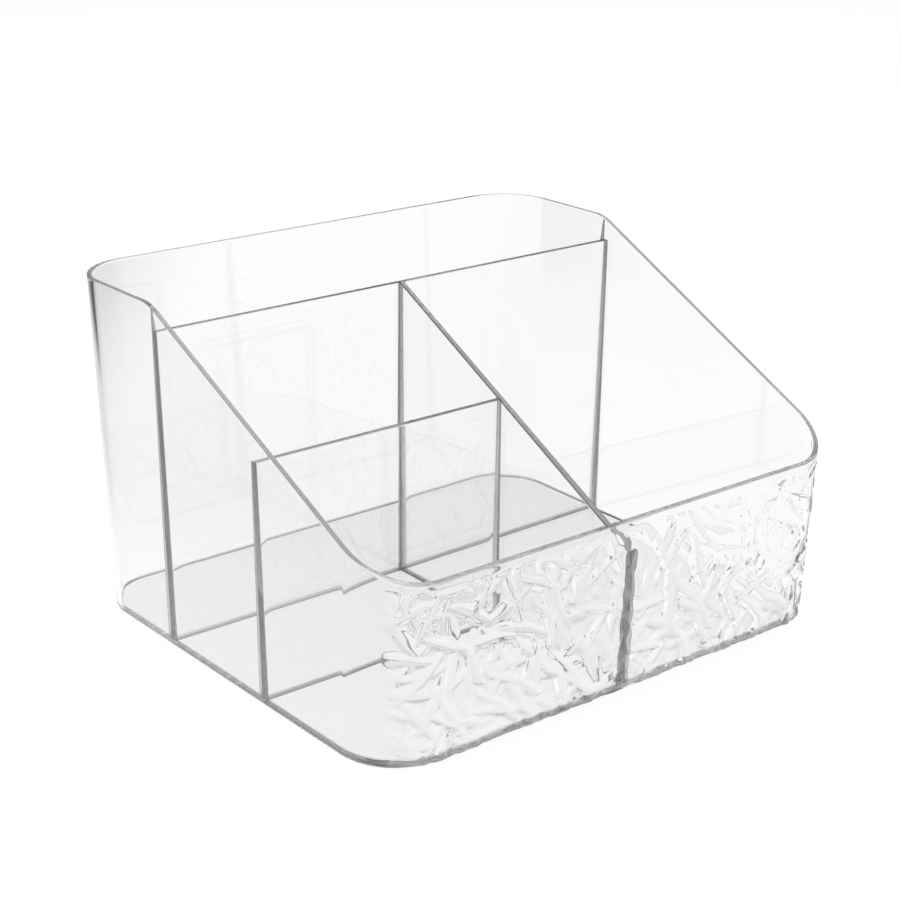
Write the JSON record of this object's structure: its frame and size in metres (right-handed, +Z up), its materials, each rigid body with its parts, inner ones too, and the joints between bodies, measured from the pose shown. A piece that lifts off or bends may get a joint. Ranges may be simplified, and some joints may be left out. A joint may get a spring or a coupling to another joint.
{
  "type": "vanity organizer",
  "caption": "Clear open-top organizer for a vanity or shelf, high at the rear and low at the embossed front, with sloping sides and fixed dividers that make open compartments.",
  "frame": {"origin": "middle of the outside bounding box, on the plane that the floor and the walls rest on", "axes": "+X to the right along the front, +Y from the embossed front to the tall rear, +Z up"},
  "size_m": [0.235, 0.2088, 0.141],
  "materials": {
    "clear_plastic": "clear, glossy"
  },
  "bodies": {
    "root": {"floor_panel": "clear_plastic", "wall_band": "clear_plastic", "front_panel": "clear_plastic", "rear_divider": "clear_plastic", "centre_divider": "clear_plastic", "cross_divider": "clear_plastic"}
  },
  "joints": []
}
